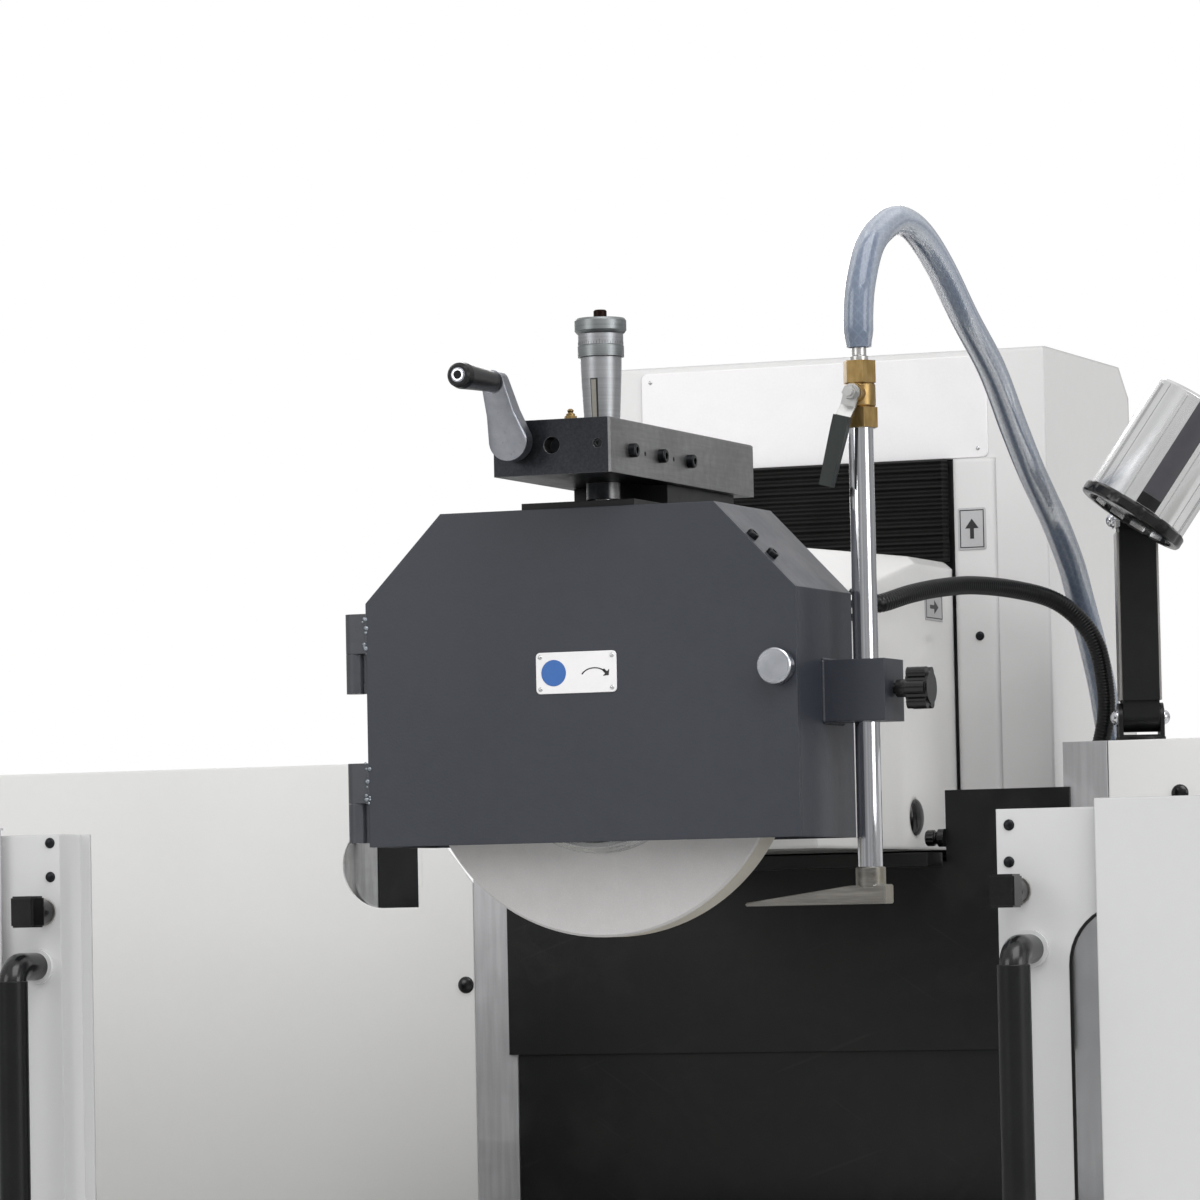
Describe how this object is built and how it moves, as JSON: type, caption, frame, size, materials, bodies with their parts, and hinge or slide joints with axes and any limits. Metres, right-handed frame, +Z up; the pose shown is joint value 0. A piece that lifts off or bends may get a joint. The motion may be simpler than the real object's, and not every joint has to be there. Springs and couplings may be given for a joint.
{
  "type": "wet surface grinding machine",
  "caption": "Floor-standing wet surface grinder: moving column, vertical head with guarded wheel, overhead dresser, coolant pipe, reciprocating table and sliding splash doors.",
  "frame": {"origin": "on the floor, at the centre of the four anchor holes in the bed's lugs", "axes": "+X to the operator's right along the table's travel, +Y to the back along the column's travel, +Z up along the head's travel"},
  "size_m": [2.04, 1.5665, 2.0815],
  "materials": {
    "guard_paint": "satin",
    "hinge_paint": "satin",
    "white_paint": "gloss",
    "panel_paint": "gloss",
    "bed_paint": "semi-gloss",
    "black_steel": "satin",
    "dark_cast": "satin",
    "way_iron": "scraped",
    "abrasive": "matte, open-grained",
    "turned_steel": "turned",
    "ground_steel": "ground",
    "black_oxide": "black oxide",
    "block_steel": "ground, blackened",
    "turned_aluminium": "turned",
    "cast_aluminium": "polished casting",
    "satin_chrome": "satin",
    "chrome": "polished",
    "nozzle_steel": "filed",
    "brass": "semi-polished",
    "black_plastic": "gloss",
    "black_grip": "satin",
    "hose_pvc": "translucent",
    "cable_black": "ribbed",
    "bellows_black": "pleated",
    "apron_black": "worn satin",
    "window_smoke": "smoked",
    "lamp_glass": "clear"
  },
  "bodies": {
    "base": {"machine_bed": "bed_paint", "splash_pan": "panel_paint", "back_panels": "panel_paint", "front_panels": "panel_paint", "fixed_apron": "apron_black", "lamp_socket": "black_steel"},
    "table": {"work_table": "way_iron", "magnetic_chuck": "ground_steel"},
    "column": {"column": "way_iron", "column_cover": "white_paint", "lift_screw": "ground_steel", "upper_bellows": "bellows_black", "lower_bellows": "bellows_black", "coolant_hose": "hose_pvc", "motor_cable": "cable_black"},
    "head": {"head_casing": "white_paint", "head_saddle": "way_iron", "spindle_housing": "dark_cast", "spindle_bearings": "ground_steel", "guard_shell": "guard_paint", "hinge_fixed": "hinge_paint", "hinge_pins": "turned_steel", "dresser_base": "black_steel", "pipe_bracket": "guard_paint"},
    "apron": {"moving_apron": "apron_black"},
    "spindle": {"spindle": "ground_steel", "wheel_hub": "turned_steel", "grinding_wheel": "abrasive", "front_flange": "turned_steel", "flange_screws": "black_oxide", "spindle_nut": "black_oxide"},
    "guard_door": {"guard_door": "guard_paint", "hinge_swing": "hinge_paint"},
    "door_knob": {"door_knob": "turned_aluminium"},
    "dresser": {"dresser_block": "block_steel", "gib_screws": "black_oxide", "oil_nipple": "brass", "micrometer_sleeve": "satin_chrome"},
    "crank": {"lead_screw": "ground_steel", "crank_arm": "cast_aluminium"},
    "crank_grip": {"crank_grip": "black_grip"},
    "thimble": {"micrometer_thimble": "satin_chrome"},
    "diamond": {"diamond_holder": "ground_steel"},
    "coolant": {"coolant_pipe": "chrome", "coolant_nozzle": "nozzle_steel", "ball_valve": "brass"},
    "valve_lever": {"valve_lever": "black_grip"},
    "star_knob": {"star_knob": "black_plastic"},
    "left_slide": {"left_door": "panel_paint", "left_window": "window_smoke", "left_handle": "black_grip"},
    "right_slide": {"right_door": "panel_paint", "right_window": "window_smoke", "right_handle": "black_grip"},
    "left_latch": {"left_latch": "black_plastic"},
    "right_latch": {"right_latch": "black_plastic"},
    "lamp_swivel": {"lamp_bracket": "black_steel"},
    "lamp_arm": {"lamp_arm": "black_steel"},
    "lamp_head": {"lamp_head": "turned_aluminium", "lamp_lens": "lamp_glass"}
  },
  "joints": [
    {"name": "table_travel", "type": "slide", "parent": "base", "child": "table", "axis": [1, 0, 0], "range_m": [-0.4, 0.4]},
    {"name": "cross_travel", "type": "slide", "parent": "base", "child": "column", "axis": [0, 1, 0], "range_m": [-0.05, 0.3]},
    {"name": "head_travel", "type": "slide", "parent": "column", "child": "head", "axis": [0, 0, 1], "range_m": [-0.26, 0.06], "deforming": ["upper_bellows", "lower_bellows", "coolant_hose", "motor_cable"]},
    {"name": "apron_travel", "type": "slide", "parent": "base", "child": "apron", "axis": [0, 0, 1], "range_m": [-0.261, 0.061]},
    {"name": "wheel_spin", "type": "hinge", "parent": "head", "child": "spindle", "pos_m": [0, -0.28, 1.6], "axis": [0, 1, 0], "continuous": true},
    {"name": "guard_door_swing", "type": "hinge", "parent": "head", "child": "guard_door", "pos_m": [-0.22, -0.341, 1.6], "axis": [0, 0, -1], "range_deg": [0, 110]},
    {"name": "door_knob_turn", "type": "hinge", "parent": "guard_door", "child": "door_knob", "pos_m": [0.189, -0.35, 1.66], "axis": [0, 1, 0], "range_deg": [0, 90]},
    {"name": "dresser_travel", "type": "slide", "parent": "head", "child": "dresser", "axis": [0, 1, 0], "range_m": [-0.02, 0.02]},
    {"name": "crank_turn", "type": "hinge", "parent": "dresser", "child": "crank", "pos_m": [-0.032, -0.41, 1.864], "axis": [0, 1, 0], "range_deg": [-1802, 1802]},
    {"name": "grip_spin", "type": "hinge", "parent": "crank", "child": "crank_grip", "pos_m": [-0.03917, -0.48, 1.915], "axis": [0, 1, 0], "continuous": true},
    {"name": "thimble_turn", "type": "hinge", "parent": "dresser", "child": "thimble", "pos_m": [0, -0.28, 1.96], "axis": [0, 0, 1], "range_deg": [-1800, 5400]},
    {"name": "diamond_feed", "type": "slide", "parent": "dresser", "child": "diamond", "axis": [0, 0, 1], "range_m": [-0.0051, 0.0151]},
    {"name": "coolant_swing", "type": "hinge", "parent": "head", "child": "coolant", "pos_m": [0.238, -0.256, 1.64], "axis": [0, 0, 1], "range_deg": [-35, 35]},
    {"name": "valve_turn", "type": "hinge", "parent": "coolant", "child": "valve_lever", "pos_m": [0.238, -0.278, 1.904], "axis": [0, -1, 0], "range_deg": [0, 90]},
    {"name": "star_turn", "type": "hinge", "parent": "head", "child": "star_knob", "pos_m": [0.27, -0.256, 1.6405], "axis": [1, 0, 0], "continuous": true},
    {"name": "left_door_slide", "type": "slide", "parent": "base", "child": "left_slide", "axis": [-1, 0, 0], "range_m": [-0.445, 0]},
    {"name": "right_door_slide", "type": "slide", "parent": "base", "child": "right_slide", "axis": [1, 0, 0], "range_m": [-0.411, 0]},
    {"name": "left_latch_turn", "type": "hinge", "parent": "left_slide", "child": "left_latch", "pos_m": [-0.474, -0.47, 1.458], "axis": [0, -1, 0], "range_deg": [0, 90]},
    {"name": "right_latch_turn", "type": "hinge", "parent": "right_slide", "child": "right_latch", "pos_m": [0.44, -0.47, 1.458], "axis": [0, 1, 0], "range_deg": [0, 90]},
    {"name": "lamp_swivel_turn", "type": "hinge", "parent": "base", "child": "lamp_swivel", "pos_m": [0.354, 0.215, 1.6], "axis": [0, 0, 1], "range_deg": [-12, 40]},
    {"name": "lamp_arm_tilt", "type": "hinge", "parent": "lamp_swivel", "child": "lamp_arm", "pos_m": [0.354, 0.215, 1.624], "axis": [-0.9272, -0.3746, 0], "range_deg": [-45, 15]},
    {"name": "lamp_head_tilt", "type": "hinge", "parent": "lamp_arm", "child": "lamp_head", "pos_m": [0.354, 0.215, 1.814], "axis": [-0.9272, -0.3746, 0], "range_deg": [-8, 45]}
  ],
  "couplings": [
    {"joint": "apron_travel", "follows": "head_travel", "ratio": 1},
    {"joint": "crank_turn", "follows": "dresser_travel", "rad_per_m": 1570.8},
    {"joint": "diamond_feed", "follows": "thimble_turn", "m_per_rad": 0.00015915}
  ]
}
